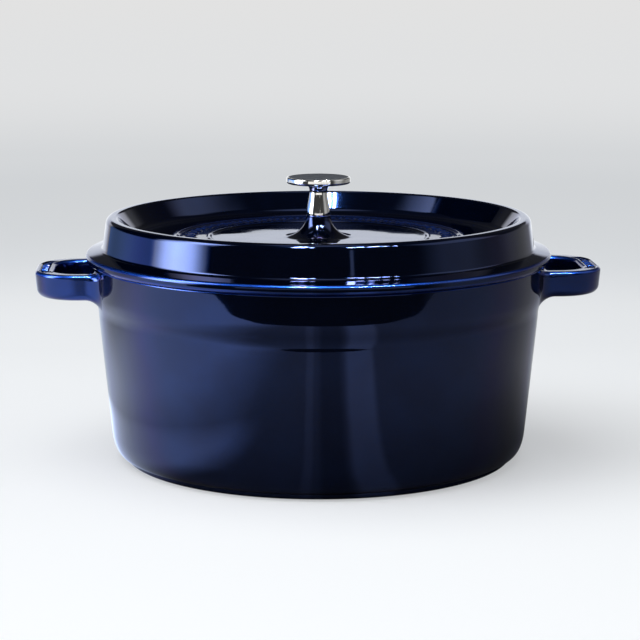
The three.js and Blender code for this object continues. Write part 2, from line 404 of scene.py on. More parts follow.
def make_black_enamel():
    """Rough black enamel of the inside, the rim's land and the lid's underside."""
    made, tree, shader = material("black_enamel", Roughness=0.5, Specular_IOR_Level=0.35)
    coords = add(tree, "ShaderNodeTexCoord").outputs["Object"]
    grain = noise(tree, coords, 1400.0, 3.0).outputs[0]
    cloud = noise(tree, coords, 45.0, 4.0).outputs[0]
    colour = mix_color(tree, spread(tree, cloud, 0.3, 0.7), BLACK_DARK, BLACK_LIGHT)
    colour = mix_color(tree, spread(tree, grain, 0.62, 0.75, 0.0, 0.5), colour, BLACK_SPECK)
    tree.links.new(colour, shader.inputs["Base Color"])
    tree.links.new(spread(tree, cloud, 0.3, 0.7, 0.42, 0.6), shader.inputs["Roughness"])
    tree.links.new(bump(tree, grain, BLACK_GRAIN, 0.6), shader.inputs["Normal"])
    return made


def make_turned_metal(name, colour_low, colour_high, rough, turn_scale, depth, **sockets):
    """Turned metal: fine rings about Z, and smudges that change its tone and its roughness."""
    made, tree, shader = material(name, **sockets)
    coords = add(tree, "ShaderNodeTexCoord").outputs["Object"]
    smudge = noise(tree, coords, 160.0, 4.0).outputs[0]
    colour = mix_color(tree, spread(tree, smudge, 0.3, 0.7), colour_low, colour_high)
    tree.links.new(colour, shader.inputs["Base Color"])
    tree.links.new(spread(tree, smudge, 0.35, 0.75, *rough), shader.inputs["Roughness"])
    rings = add(tree, "ShaderNodeTexWave", Vector=coords, Scale=turn_scale, Distortion=0.4, Detail=2.0)
    rings.wave_type = "RINGS"
    rings.rings_direction = "Z"
    tree.links.new(bump(tree, rings.outputs["Fac"], depth, 0.5), shader.inputs["Normal"])
    return made


ENAMEL = make_enamel()
BLACK = make_black_enamel()
NICKEL = make_turned_metal("polished_nickel", (0.80, 0.77, 0.72, 1), (0.90, 0.88, 0.84, 1), (0.05, 0.14),
                           300.0, 0.000004, Metallic=1.0)
# The knob's flat top is a near-black copy of the turned metal that barely shines: a painted dark reflection
# on the top, not a finish of its own.
NICKEL_TOP_PAINTED_DARK = make_turned_metal("knob_top_painted_dark", (0.026, 0.030, 0.038, 1), (0.040, 0.045, 0.055, 1),
                               (0.45, 0.6), 500.0, 0.00002, Metallic=0.0, Specular_IOR_Level=0.12)
STEEL = make_turned_metal("satin_steel", (0.50, 0.50, 0.49, 1), (0.66, 0.66, 0.65, 1), (0.25, 0.38),
                          400.0, 0.00001, Metallic=1.0)


# ---------------------------------------------------------------- pot
FOOT_R = 124.7
FOOT_TALL = 3.5
BELLY_R = 126.2                    # where the rounding into the wall starts
WALL_FOOT = (133.66, 18.4)
WALL_TOP = (140.5, 88.0)
WALL_STEPS = 6
BAND_TOP = (144.45, 116.0)         # on the upright band under the rim
LAND_IN = 142.2                    # where the blue glaze ends on the rim
FLOOR_Z = 4.2


def pot_outside():
    """Outside of the pot, from the centre of its base to the top of the rim's rounding."""
    base = fillet([(0, 0.6, 0, 0), (112.0, 0.6, 0.6, 0), (114.0, 0.0, 0.6, 0), (FOOT_R, 0.0, 0.9, 0.2),
                   (FOOT_R, FOOT_TALL, 0.5, 0), (BELLY_R, FOOT_TALL, 0, 0)])
    belly = bezier((BELLY_R, FOOT_TALL), (132.3, FOOT_TALL), WALL_FOOT, 20)[1:]
    rise = [(top - foot) for foot, top in zip(WALL_FOOT, WALL_TOP)]
    wall = [(WALL_FOOT[0] + rise[0] * k / WALL_STEPS, WALL_FOOT[1] + rise[1] * k / WALL_STEPS, 0.0)
            for k in range(1, WALL_STEPS)]
    shoulder = spline([WALL_TOP, (140.85, 92.5), (141.10, 96.0), (141.75, 99.2), (142.95, 103.2),
                       (143.85, 107.2), (144.20, 111.0), BAND_TOP], 5)
    rim = fillet([(*BAND_TOP, 0, 0), (RIM_R + 0.02, POT_TOP, 2.5, 1.0), (LAND_IN, POT_TOP, 0, 0)])
    return base + belly + wall + shoulder + rim[1:]


def pot_inside():
    """The rim's land and the inside, down to the centre of the floor."""
    land = fillet([(LAND_IN, POT_TOP, 0, 0), (140.0, POT_TOP, 0.9, 0), (139.3, 120.0, 0, 0)])
    corner = bezier((130.46, 19.2), (129.7, FLOOR_Z), (115.5, FLOOR_Z), 14)
    return land[1:] + [(134.8, 70.0, 0.0)] + corner + [(60.0, FLOOR_Z, 0.0), (0.0, FLOOR_Z, 0.0)]


outside = pot_outside()
inside = pot_inside()
BODY_SIDE = [(r, z) for r, z, t in outside if 90.0 < z < 127.0 and r > 139.0]


def body_radius(z):
    """Outer radius of the pot at a height near the handles."""
    for (r0, z0), (r1, z1) in zip(BODY_SIDE, BODY_SIDE[1:]):
        if z0 <= z <= z1:
            return r0 + (r1 - r0) * (z - z0) / (z1 - z0)
    return BODY_SIDE[0][0] if z < BODY_SIDE[0][1] else BODY_SIDE[-1][0]


pot_mesh = turned("pot_casting", outside + inside, SEGMENTS,
                  material_at=lambda i: 0 if i < len(outside) - 1 else 1)
new_object("pot_casting", pot_mesh, (ENAMEL, BLACK), "pot", ["pot"])


# ---------------------------------------------------------------- handles
def handle_section(width):
    """Points (u, v, nu, nv, thin) round a rounded rectangle: u from the finger side out, v up from the top,
    nu and nv the way that the surface faces."""
    corners = ((0.0, 0.0, HANDLE_EDGE, 1.0), (width, 0.0, HANDLE_EDGE, 1.0),
               (width, -HANDLE_THICK, HANDLE_BELLY, HANDLE_LOW_THIN),
               (0.0, -HANDLE_THICK, HANDLE_PALM, HANDLE_LOW_THIN))
    out = []
    starts = (math.pi, math.pi / 2, 0.0, -math.pi / 2)
    for (cu, cv, radius, thin), first in zip(corners, starts):
        mu = cu + (radius if cu == 0.0 else -radius)
        mv = cv + (radius if cv < 0.0 else -radius)
        for k in range(EDGE_STEPS + 1):
            a = first - math.pi / 2 * k / EDGE_STEPS
            out.append((mu + radius * math.cos(a), mv + radius * math.sin(a), math.cos(a), math.sin(a),
                        thin * math.sin(math.pi * k / EDGE_STEPS) ** THIN_FALL))
        if cu == 0.0 and cv == 0.0:
            for k in range(1, CROSS_STEPS):
                out.append((radius + (width - 2 * radius) * k / CROSS_STEPS, 0.0, 0.0, 1.0, 0.0))
        elif cv == 0.0:
            for k in range(1, 6):
                out.append((width, -radius - (HANDLE_THICK - radius - HANDLE_BELLY) * k / 6, 1.0, 0.0, 0.0))
        elif cu > 0.0:
            for k in range(1, 4):
                along = (width - radius - HANDLE_PALM) * k / 4
                out.append((width - radius - along, -HANDLE_THICK, 0.0, -1.0, 0.0))
        else:
            for k in range(1, 6):
                rise = (HANDLE_THICK - radius - HANDLE_EDGE) * k / 6
                out.append((0.0, -HANDLE_THICK + radius + rise, -1.0, 0.0, 0.0))
    return out


def smooth_edge(value, edge, width):
    """1 well below the edge and 0 well above it, with a soft step of that width."""
    t = max(0.0, min(1.0, (edge - value) / width + 0.5))
    return t * t * (3 - 2 * t)


def panel_relief(u, width, along):
    """Height and thinness of the sunk panel on the outer bar, with a plain bead and rib ornament in it."""
    mid = width / 2
    across = abs(u - mid)
    inside_panel = (smooth_edge(across, mid - HANDLE_EDGE - PANEL_MARGIN, 0.7)
                    * smooth_edge(abs(along), PANEL_HALF, 0.9))
    step = (along / PANEL_PITCH + 0.5) % 1.0 - 0.5
    bead_u, bead_s = (u - mid) / PANEL_BEAD[0], step * PANEL_PITCH / PANEL_BEAD[1]
    bead = max(0.0, 1.0 - bead_u ** 2 - bead_s ** 2) ** 0.5
    rib_step = (along / PANEL_PITCH) % 1.0 - 0.5
    rib = smooth_edge(abs(rib_step * PANEL_PITCH), PANEL_RIB[1], 0.7) * smooth_edge(across, PANEL_RIB[0], 0.8)
    raised = max(bead, rib) * smooth_edge(abs(along), PANEL_HALF - 1.6, 0.8)
    return PANEL_DEPTH * inside_panel * (PANEL_FILL * raised - 1.0), inside_panel * (0.25 + 0.75 * raised)


def handle_plan():
    """Pairs of points (inner, outer) along half of the loop, from its middle to the end of the corner."""
    outer_mid = REACH - HANDLE_CORNER
    inner_end = REACH - BAR_WIDTH
    inner_mid = inner_end - FINGER_CORNER
    outer_straight = HANDLE_HALF - HANDLE_CORNER
    inner_straight = HANDLE_HALF - ARM_WIDTH - FINGER_CORNER
    plan = []
    for k in range(BAR_STEPS + 1):
        share = k / BAR_STEPS
        plan.append(((inner_end, inner_straight * share), (REACH, outer_straight * share)))
    for k in range(1, CORNER_STEPS + 1):
        a = math.pi / 2 * k / CORNER_STEPS
        plan.append(((inner_mid + FINGER_CORNER * math.cos(a), inner_straight + FINGER_CORNER * math.sin(a)),
                     (outer_mid + HANDLE_CORNER * math.cos(a), outer_straight + HANDLE_CORNER * math.sin(a))))
    return plan


def loop_ring(inner, outer):
    """Section of the loop between two points of its plan, with the panel's relief on top."""
    (ix, iy), (ox, oy) = inner, outer
    width = math.hypot(ox - ix, oy - iy)
    ring = []
    for u, v, nu, nv, thin in handle_section(width):
        x = ix + (ox - ix) * u / width
        y = iy + (oy - iy) * u / width
        z = HANDLE_TOP + v
        if nv > 0.99 and 0.0 < u < width:
            lift, raised = panel_relief(u, width, y)
            z += lift
            thin = max(thin, raised)
        drop = HANDLE_TOP - z
        ring.append((x - HANDLE_DRAFT * drop, y * (1 - HANDLE_LEAN * drop), z, max(thin, HANDLE_THIN)))
    return ring


def root_ring(a):
    """Section of an arm where it has turned by the angle a into its flare on the pot's wall."""
    ring = []
    for u, v, nu, nv, thin in handle_section(ARM_WIDTH):
        radius = ROOT_FILLET + (ROOT_FILLET_TOP - ROOT_FILLET) * max(0.0, nv)
        out = radius * (1 - math.cos(a))
        away = (radius + ROOT_BITE) * (1 - math.sin(a)) - ROOT_BITE
        y = HANDLE_HALF - ARM_WIDTH + u + nu * out
        z = HANDLE_TOP + v + nv * out
        y *= 1 - HANDLE_LEAN * (HANDLE_TOP - z)
        thin = max(thin, HANDLE_THIN * math.cos(a))
        ring.append((math.sqrt((body_radius(z) + away) ** 2 - y * y), y, z, thin))
    return ring


def make_handle(name, side):
    """A loop handle, on +X for side 1 and -X for side -1. Its arms flare into the pot's wall."""
    rings = [loop_ring(inner, outer) for inner, outer in handle_plan()]
    root = [root_ring(math.radians(degrees)) for degrees in ROOT_FAN]
    arm_end = rings[-1]
    for k in range(1, ARM_STEPS):
        share = k / ARM_STEPS
        rings.append([tuple(p + (q - p) * share for p, q in zip(a, b)) for a, b in zip(arm_end, root[0])])
    rings += root + [[(x - ROOT_BURIED, y, z, thin) for x, y, z, thin in root[-1]]]
    whole = [[(x, -y, z, thin) for x, y, z, thin in ring] for ring in rings[:0:-1]] + rings
    bm = bmesh.new()
    thin_values = [thin for ring in whole for x, y, z, thin in ring]
    made = [[bm.verts.new((side * x, side * y, z)) for x, y, z, thin in ring] for ring in whole]
    for low, high in zip(made, made[1:]):
        skin(bm, low, high)
    bm.faces.new(made[0])
    bm.faces.new(made[-1])
    mesh = finish_mesh(bm, name, thin_values)
    count = len(arm_end)
    last = len(whole) - 1
    marked = mesh.attributes.new("sharp_edge", "BOOLEAN", "EDGE")
    for edge in mesh.edges:
        a, b = (v // count for v in edge.vertices)
        if a == b and a in (0, 1, last - 1, last):
            marked.data[edge.index].value = True
    return new_object(name, mesh, (ENAMEL,), "pot")


make_handle("handle_right", 1)
make_handle("handle_left", -1)


# ---------------------------------------------------------------- lid
LID_OUTSIDE = [
    (137.4, SEAT, 0, 0),
    (FLANGE_R, SEAT, 2.2, 0.7),
    (FLANGE_R, SEAT + 5.5, 2.3, 0.8),
    (138.1, SEAT + 7.9, 2.2, 0.1),
    (135.2, SEAT + 27.9, 5.0, 0.15),
    (128.6, SEAT + 27.9, 2.2, 0.15),
    (118.9, 141.3, 7.0, 0),
    (94.2, 141.3, 0.8, 0),
    (93.2, RING_TOP, 0.9, 1.0),
    (90.8, RING_TOP - 0.1, 0.9, 1.0),
    (89.2, BAND_Z, 0.8, 0.4),
    (RING_IN + 1.6, BAND_Z, 0.5, 0.4),
    (RING_IN + 0.6, BAND_Z + 0.5, 0.6, 1.0),
    (RING_IN - 0.8, BAND_Z + 0.5, 0.6, 1.0),
    (68.4, DISC_Z, 0.6, 0),
]


def lid_outside():
    disc = fillet(LID_OUTSIDE + [(40.0, DISC_Z, 0, 0)])
    boss = spline([(26.0, DISC_Z), (21.0, DISC_Z + 0.06), (17.8, DISC_Z + 0.75), (14.0, DISC_Z + 2.6),
                   (11.2, DISC_Z + 5.2), (9.3, DISC_Z + 7.9), (8.2, DISC_Z + 10.6),
                   (BOSS_R, DISC_Z + 12.6)], 6)
    top = fillet([(BOSS_R, DISC_Z + 12.6, 0, 0), (BOSS_R - 0.05, BOSS_TOP, 0.6, 0.8),
                  (BORE_R, BOSS_TOP, 0, 0)])
    return disc + boss + top[1:]


def lid_underside():
    """From the bore at the pad out to the skirt and the flange."""
    pad = DISC_Z - LID_THICK
    return fillet([(BORE_R, BOSS_TOP, 0, 0), (BORE_R, pad, 0, 0), (67.2, pad, 0.6, 0),
                   (70.2, pad + 0.9, 0.6, 0), (92.4, UNDERSIDE_Z, 0.8, 0), (119.3, UNDERSIDE_Z, 4.0, 0),
                   (129.0, 150.0, 3.0, 0), (134.1, 150.0, 3.0, 0), (133.8, 130.3, 3.0, 0),
                   (135.3, 122.3, 1.2, 0), (138.8, 122.3, 1.2, 0), (138.8, SEAT, 0.4, 0)])


def lid_relief(r, z, angle, thin):
    """A band of raised beads and ribs round the lid's raised ring, and thin glaze all over the ring."""
    across = abs(r - RELIEF_MID)
    if z > BAND_Z - 0.2 and RING_IN < r < RING_OUT:
        thin = max(thin, RING_THIN * smooth_edge(across, RING_HALF, 1.5))
    if z < TOP_SIDE_Z or across > RELIEF_HALF + RELIEF_MARGIN:
        return r, z, thin
    pitch = 2 * math.pi / RELIEF_COUNT
    arc = pitch * RELIEF_MID
    step = (angle / pitch + 0.5) % 1.0 - 0.5
    bead = max(0.0, 1.0 - (across / RELIEF_BEAD[0]) ** 2 - (step * arc / RELIEF_BEAD[1]) ** 2) ** 0.5
    rib_step = (angle / pitch) % 1.0 - 0.5
    rib = smooth_edge(abs(rib_step * arc), RELIEF_RIB[1], 0.9) * smooth_edge(across, RELIEF_RIB[0], 1.0)
    raised = max(bead, rib)
    return r, z + RELIEF_HEIGHT * raised, max(thin, 0.35 + 0.65 * raised if across < RELIEF_HALF + 1 else 0.3)


def refine(outline, low, high, step):
    """Adds points to the stretches of an outline that cross the radii between low and high."""
    out = [outline[0]]
    for (r0, z0, t0), (r1, z1, t1) in zip(outline, outline[1:]):
        crosses = min(r0, r1) < high and max(r0, r1) > low and abs(r1 - r0) > step
        if crosses and min(z0, z1) > TOP_SIDE_Z:
            count = math.ceil(abs(r1 - r0) / step)
            for k in range(1, count):
                s = k / count
                out.append((r0 + (r1 - r0) * s, z0 + (z1 - z0) * s, t0 + (t1 - t0) * s))
        out.append((r1, z1, t1))
    return out


lid_top = refine(lid_outside(), RELIEF_MID - RELIEF_HALF - RELIEF_MARGIN,
                 RELIEF_MID + RELIEF_HALF + RELIEF_MARGIN, RELIEF_STEP)
lid_under = lid_underside()[1:]
black_from = len(lid_top) - 1
lid_mesh = turned("lid_casting", lid_top + lid_under, LID_SEGMENTS, change=lid_relief,
                  material_at=lambda i: 0 if i < black_from else 1, closed=True)
new_object("lid_casting", lid_mesh, (ENAMEL, BLACK), "lid", ["lid"])


def underside_height(radius):
    """Height of the lid's underside where a spike stands."""
    for (r0, z0, t0), (r1, z1, t1) in zip(lid_under, lid_under[1:]):
        if r0 <= radius <= r1 and r1 > r0:
            return z0 + (z1 - z0) * (radius - r0) / (r1 - r0)
    return UNDERSIDE_Z


def drip_spikes():
    """Blunt cones under the lid, in three rings, each with a flared foot."""
    bm = bmesh.new()
    for radius in SPIKE_RINGS:
        count = round(2 * math.pi * radius / SPIKE_SPACING)
        foot = underside_height(radius)
        for i in range(count):
            a = 2 * math.pi * i / count
            centre = (radius * math.cos(a), radius * math.sin(a))
            rings = [circle(bm, r, foot + z, SPIKE_SIDES, centre) for r, z in SPIKE_PROFILE]
            for low, high in zip(rings, rings[1:]):
                skin(bm, low, high)
            bm.faces.new(rings[-1])
    return finish_mesh(bm, "drip_spikes")


new_object("drip_spikes", drip_spikes(), (BLACK,), "lid")


# ---------------------------------------------------------------- knob and its fasteners
def knob_outline():
    """Bore, foot, waisted stem and disc, as one turned outline."""
    disc = KNOB_TOP - KNOB_DISC
    bore_end = KNOB_FOOT + KNOB_BORE_DEEP
    stem = spline([(7.75, KNOB_FOOT + 0.9), (7.55, KNOB_FOOT + 3.4), (6.95, KNOB_FOOT + 7.0),
                   (6.2, KNOB_FOOT + 10.8), (5.75, KNOB_FOOT + 13.8), (5.7, KNOB_FOOT + 16.2),
                   (6.0, disc - 2.9), (6.7, disc - 1.5), (8.3, disc - 0.5), (11.5, disc - 0.1),
                   (15.0, disc + 0.05)], 5)
    top = fillet([(15.0, disc + 0.05, 0, 0), (KNOB_R - 0.05, disc + 0.2, 1.5, 0),
                  (KNOB_R, KNOB_TOP, 0.9, 0), (18.0, KNOB_TOP - 0.02, 0, 0)])
    foot = [(0.0, bore_end, 0.0), (KNOB_BORE, bore_end, 0.0), (KNOB_BORE, KNOB_FOOT, 0.0),
            (7.2, KNOB_FOOT, 0.0), (7.65, KNOB_FOOT + 0.3, 0.0)]
    return foot + stem + top[1:] + [(9.0, KNOB_TOP - 0.03, 0.0), (0.0, KNOB_TOP - 0.04, 0.0)]


knob_points = knob_outline()
top_from = max(i for i, point in enumerate(knob_points) if point[0] > 19.0)
knob_mesh = turned("knob_turned", knob_points, SMALL_SEGMENTS,
                   material_at=lambda i: 1 if i >= top_from else 0)
new_object("knob_turned", knob_mesh, (NICKEL, NICKEL_TOP_PAINTED_DARK), "lid", ["knob"])


def screw_mesh():
    """Pan head, shank and thread. Returns the mesh and the height of the head's underside."""
    head_low = screw_low.z / MM
    head_top = head_low + HEAD_TALL
    tip = screw_high.z / MM
    head_r = screw_high.x / MM
    head = fillet([(0, head_low, 0, 0), (head_r - 0.4, head_low, 1.1, 0), (head_r, head_top, 0.3, 0),
                   (SHANK_R, head_top, 0, 0)])
    shank = [(SHANK_R - 0.05, head_top + 0.2 + k * SHANK_STEP, 0.0)
             for k in range(int((tip - head_top - 1.0) / SHANK_STEP))]
    end = [(2.2, tip - 0.3, 0.0), (1.9, tip, 0.0), (0.0, tip, 0.0)]

    def thread(r, z, angle, thin):
        if r > SHANK_R or z < head_top + THREAD_CLEAR or z > tip - 0.8 or r < SHANK_R - THREAD_DEEP:
            return r, z, thin
        phase = (z / THREAD_PITCH - angle / (2 * math.pi)) % 1.0
        return r - THREAD_DEEP * abs(2 * phase - 1), z, thin

    return turned("screw_turned", head + shank + end, 48, change=thread), head_low


turned_screw, head_low = screw_mesh()
screw = new_object("screw_turned", turned_screw, (STEEL,), "screw", ["knob_screw"])


def cut_slot(obj, low):
    """Cuts the driver's slot across the screw's head."""
    bm = bmesh.new()
    bmesh.ops.create_cube(bm, size=2.0)
    for v in bm.verts:
        v.co = Vector((v.co.x * SLOT_HALF[0], v.co.y * SLOT_HALF[1], v.co.z * SLOT_DEEP + low))
    cutter = link("slot_cutter", finish_mesh(bm, "slot_cutter"))
    modifier = obj.modifiers.new("slot", "BOOLEAN")
    modifier.operation = "DIFFERENCE"
    modifier.solver = "EXACT"
    modifier.object = cutter
    bpy.context.view_layer.update()
    made = bpy.data.meshes.new_from_object(obj.evaluated_get(bpy.context.evaluated_depsgraph_get()))
    obj.modifiers.clear()
    obj.data = made
    made.set_sharp_from_angle(angle=math.radians(40))
    bpy.data.objects.remove(cutter)


cut_slot(screw, head_low)

washer = fillet([(BORE_R, flat_low.z / MM, 0, 0), (WASHER_R, flat_low.z / MM, WASHER_EDGE, 0),
                 (WASHER_R, flat_high.z / MM, WASHER_EDGE, 0), (BORE_R, flat_high.z / MM, 0, 0)])
washer_mesh = turned("washer_pressed", washer, 64, closed=True)
new_object("washer_pressed", washer_mesh, (STEEL,), "lid", ["flat_washer"])


def spring_washer_mesh():
    """A square wire bent once round, with its two ends a little apart in height."""
    low, high = spring_low.z / MM, spring_high.z / MM
    tall = (high - low) * SPRING_SHARE
    rise = (high - low) - tall
    left, right = SPRING_IN + SPRING_EDGE, SPRING_OUT - SPRING_EDGE
    bm = bmesh.new()
    rings = []
    for k in range(SPRING_STEPS + 1):
        a = math.radians(SPRING_GAP + (360 - 2 * SPRING_GAP) * k / SPRING_STEPS)
        foot = low + rise * k / SPRING_STEPS
        top = foot + tall
        corners = ((left, foot), (right, foot), (SPRING_OUT, foot + SPRING_EDGE),
                   (SPRING_OUT, top - SPRING_EDGE), (right, top), (left, top),
                   (SPRING_IN, top - SPRING_EDGE), (SPRING_IN, foot + SPRING_EDGE))
        rings.append([bm.verts.new((r * math.cos(a), r * math.sin(a), z)) for r, z in corners])
    for one, two in zip(rings, rings[1:]):
        skin(bm, one, two)
    bm.faces.new(rings[0])
    bm.faces.new(rings[-1])
    mesh = finish_mesh(bm, "spring_washer_bent")
    mesh.set_sharp_from_angle(angle=math.radians(35))
    return mesh


new_object("spring_washer_bent", spring_washer_mesh(), (STEEL,), "lid", ["spring_washer"])


# ---------------------------------------------------------------- floor, backdrop and light
ONLY_SEEN = ("visible_glossy", "visible_diffuse", "visible_transmission", "visible_shadow")
ONLY_MIRRORED = ("visible_camera", "visible_diffuse", "visible_transmission", "visible_shadow")
NOT_SEEN = ("visible_camera", "visible_shadow")


def stage_piece(name, bm, look, build, off):
    """A piece of the stage, which isn't part of the object, with the kinds of ray in off switched off."""
    made = bpy.data.materials.new(look)
    made.use_nodes = True
    tree = made.node_tree
    tree.nodes.clear()
    out = tree.nodes.new("ShaderNodeOutputMaterial")
    tree.links.new(build(tree), out.inputs["Surface"])
    mesh = bpy.data.meshes.new(name)
    bm.to_mesh(mesh)
    bm.free()
    mesh.materials.append(made)
    obj = link(name, mesh)
    for flag in off:
        setattr(obj, flag, False)
    return obj


def math_node(tree, operation, a, b=0.0):
    node = add(tree, "ShaderNodeMath", i0=a, i1=b)
    node.operation = operation
    return node.outputs[0]


def product(tree, a, b):
    return math_node(tree, "MULTIPLY", a, b)


def object_place(tree):
    """Coordinates of the shaded point, with x, y and z apart."""
    coords = add(tree, "ShaderNodeTexCoord").outputs["Object"]
    return coords, *add(tree, "ShaderNodeSeparateXYZ", Vector=coords).outputs


def radius_of(tree, x, y):
    return math_node(tree, "SQRT", math_node(tree, "ADD", product(tree, x, x), product(tree, y, y)))


def azimuth_of(tree, x, y):
    """Degrees round from the camera's side towards +X."""
    return product(tree, math_node(tree, "ARCTAN2", x, product(tree, y, -1.0)), 180.0 / math.pi)


def band(tree, value, low, high, soft):
    """1 between low and high and 0 outside, with soft edges."""
    return product(tree, spread(tree, value, low - soft, low + soft),
                   spread(tree, value, high - soft, high + soft, 1.0, 0.0))


# The backdrop is one turned sheet. Metres.
FLOOR_RINGS = (0.0, 0.3, 0.6, 0.9, 1.2, 1.5)
FLOOR_FLAT = 1.95                  # from the axis to the foot of the backdrop's curve
BACKDROP_R = 2.75
BACKDROP_TOP = 3.6
BACKDROP_SIDES = 96
BEND_STEPS = 16
RAMP_RUN = 4.03                    # way up the sweep, from the axis, over which its tone changes
# The tones are painted light: each step's brightness and tint stand for how the lamps fall on the sweep, in
# lighter and darker, warmer and bluer bands.
FLOOR_PAINTED_TONES = (                    # share of that way, brightness and how blue
    (0.0, 0.97, 1.02), (0.0695, 0.97, 1.02), (0.139, 0.96, 1.02), (0.2293, 0.91, 1.03), (0.3804, 0.88, 1.03),
    (0.4767, 0.913, 1.025), (0.598, 1.02, 1.01), (0.7878, 1.04, 0.975), (1.0, 0.96, 0.97),
)
FLOOR_FADE = (-0.38, 0.36, 1.0, 0.74)    # from and to which y its own light falls, and its strength there
# Near the object half of the floor's light is its own glow, a painted fill that lightens the object's shadow
# on it.
FLOOR_GLOW = (0.45, 1.2, 0.50, 1.0)      # from and to which way its own light takes over, and its share there


def floor_shader(tree):
    """Pale sheet with painted light in bands of brightness and tint: near the object it is half lit and
    shaded and half glowing, which lightens the shadows there, and further off it only glows.
    """
    coords, x, y, z = object_place(tree)
    run = math_node(tree, "ADD", radius_of(tree, x, y), z)
    share = add(tree, "ShaderNodeMapRange", i0=run, i1=0.0, i2=RAMP_RUN).outputs[0]
    ramp = add(tree, "ShaderNodeValToRGB", Fac=share)
    elements = ramp.color_ramp.elements
    while len(elements) < len(FLOOR_PAINTED_TONES):
        elements.new(0.5)
    for element, (position, level, blue) in zip(elements, FLOOR_PAINTED_TONES):
        element.position = position
        element.color = (level * (2 - blue), level, level * blue, 1)
    ramp.color_ramp.interpolation = "EASE"
    near_y, far_y, near_level, far_level = FLOOR_FADE
    away = add(tree, "ShaderNodeMapRange", i0=y, i1=near_y, i2=far_y, i3=near_level, i4=far_level).outputs[0]
    matt = add(tree, "ShaderNodeBsdfDiffuse", Color=ramp.outputs[0])
    glow = add(tree, "ShaderNodeEmission", Color=ramp.outputs[0], Strength=away)
    return add(tree, "ShaderNodeMixShader", Fac=spread(tree, run, *FLOOR_GLOW), i1=matt.outputs[0],
               i2=glow.outputs[0]).outputs[0]


def make_backdrop():
    """A flat floor, a curve and a wall all round. It shows, but casts and mirrors nothing."""
    bm = bmesh.new()
    bend = BACKDROP_R - FLOOR_FLAT
    path = [(r, 0.0) for r in (*FLOOR_RINGS, FLOOR_FLAT)]
    path += [(FLOOR_FLAT + bend * math.sin(a), bend * (1 - math.cos(a)))
             for a in (math.pi / 2 * k / BEND_STEPS for k in range(1, BEND_STEPS + 1))]
    path.append((BACKDROP_R, BACKDROP_TOP))
    rings = [circle(bm, r, z, BACKDROP_SIDES) for r, z in path]
    for low, high in zip(rings, rings[1:]):
        skin(bm, low, high)
    stage_piece("backdrop", bm, "pale_sweep", floor_shader, ONLY_SEEN).data.shade_smooth()


TABLE = (-1.3, 1.2, -0.42, 1.1)    # low x, high x, low y and high y of the lit table top, metres
TABLE_Z = -0.0004
TABLE_WHITE = (0.82, 0.84, 0.88, 1)
TABLE_SHARE = 0.5                  # of that white that the table has away from the object
# The strips are painted light and shade: lighter and darker bands on the table for the enamel to mirror.
TABLE_PAINTED_STRIPS = (                   # lighter and darker strips: azimuths, softness in degrees, and gain
    (8.5, 20.0, 1.6, 1.1),
    (-8.2, -5.2, 0.8, 0.5),
    (-2.5, 6.5, 1.5, -0.4),
)
TABLE_GLOW = (0.84, 1.0, 1.30, 1)


def table_shader(tree):
    """White top with painted light and shade: a glow on the lit left side and round the left of the pot's
    foot, painted shade round the rest of the pot's foot, and painted lighter and darker strips.
    """
    coords, x, y, z = object_place(tree)
    radius = radius_of(tree, x, y)
    azimuth = azimuth_of(tree, x, y)
    # Painted shade: the table is half as bright close round the pot's foot, except on its lit left.
    near = math_node(tree, "MAXIMUM", spread(tree, radius, 0.15, 0.36, 0.5, 1.0),
                     spread(tree, x, -0.15, -0.08, 1.0, 0.0))
    share = product(tree, near, TABLE_SHARE)
    for low, high, soft, gain in TABLE_PAINTED_STRIPS:
        share = product(tree, share, sum_of(tree, 1.0, band(tree, azimuth, low, high, soft), gain))
    matt = add(tree, "ShaderNodeBsdfDiffuse", Color=mix_color(tree, share, (0.0, 0.0, 0.0, 1), TABLE_WHITE))
    # Painted light: a glow round the left of the pot's foot and a larger one over the lit left side.
    rim = product(tree, spread(tree, radius, 0.19, 0.27, 1.0, 0.0), spread(tree, x, -0.14, -0.09, 1.0, 0.0))
    left = product(tree, spread(tree, x, -0.30, -0.10, 1.25, 0.0), spread(tree, y, 0.0, 0.30, 1.0, 0.35))
    glow = add(tree, "ShaderNodeEmission", Color=TABLE_GLOW, Strength=math_node(tree, "MAXIMUM", left, rim))
    return add(tree, "ShaderNodeAddShader", i0=matt.outputs[0], i1=glow.outputs[0]).outputs[0]


def make_table():
    """The lit table top that the enamel mirrors. It lies just under the floor and isn't seen itself."""
    x0, x1, y0, y1 = TABLE
    bm = bmesh.new()
    bm.faces.new([bm.verts.new((x, y, TABLE_Z)) for x, y in ((x0, y0), (x1, y0), (x1, y1), (x0, y1))])
    stage_piece("table_top", bm, "table_white", table_shader, NOT_SEEN)


make_backdrop()
make_table()

# Light panels of the studio, as seen from the object: low and high azimuth, low and high elevation in
# degrees, soft edges across and up, and brightness. Azimuth 0 is the camera's side and grows towards +X.
PANELS = (
    (-98.0, -60.0, 17.0, 50.0, 1.2, 5.0, 2.8),
    (-155.0, -100.0, -60.0, 16.0, 8.0, 5.0, 0.10),
    (60.0, 112.0, 18.0, 50.0, 8.0, 6.0, 0.9),
    (58.0, 88.0, -60.0, 14.0, 9.0, 4.0, 0.36),
    (88.0, 112.0, -60.0, 14.0, 9.0, 4.0, 0.16),
    (13.4, 15.0, 3.0, 11.0, 0.4, 1.0, 0.9),
    (-29.5, -26.5, 4.0, 6.5, 0.5, 0.8, 0.5),
    (112.0, 155.0, -60.0, 16.0, 8.0, 5.0, 0.27),
    (-180.0, -154.0, -60.0, 11.0, 6.0, 1.5, 1.05),
    (154.0, 180.0, -60.0, 11.0, 6.0, 1.5, 1.00),
)
ROOM = 0.05                        # brightness of the room between the panels
CEILING = (70.0, 84.0, 1.2)        # elevations where the overhead light starts and is full, and its level
STUDIO_TINT = (0.97, 1.0, 1.035, 1)

